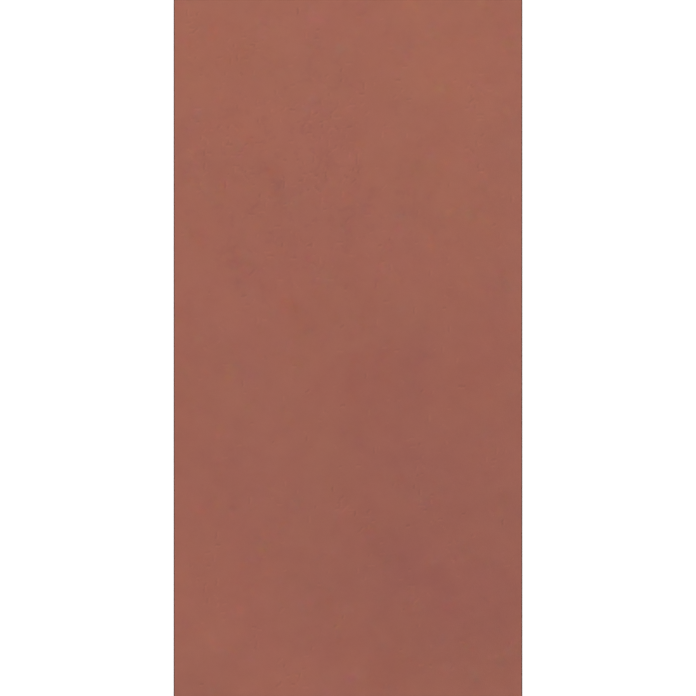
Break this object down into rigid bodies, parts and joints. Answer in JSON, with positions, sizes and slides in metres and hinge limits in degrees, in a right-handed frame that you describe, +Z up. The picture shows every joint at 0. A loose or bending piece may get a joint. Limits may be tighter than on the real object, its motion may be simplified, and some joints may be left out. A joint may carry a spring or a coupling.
{
  "type": "porcelain tile",
  "caption": "Rectangular matt terracotta porcelain tile with square-ground, finely bevelled edges and a keyed back, bonded face up to floors or walls.",
  "frame": {"origin": "centre of the back, on the plane of its ribs, which the tile lies on", "axes": "+X across the tile, +Y along its length, +Z up, out of the face"},
  "size_m": [0.598, 1.198, 0.009],
  "materials": {
    "terracotta_porcelain": "matt terracotta face with faint cloudy shading and fine pores"
  },
  "bodies": {
    "root": {"porcelain_tile": "terracotta_porcelain"}
  },
  "joints": []
}
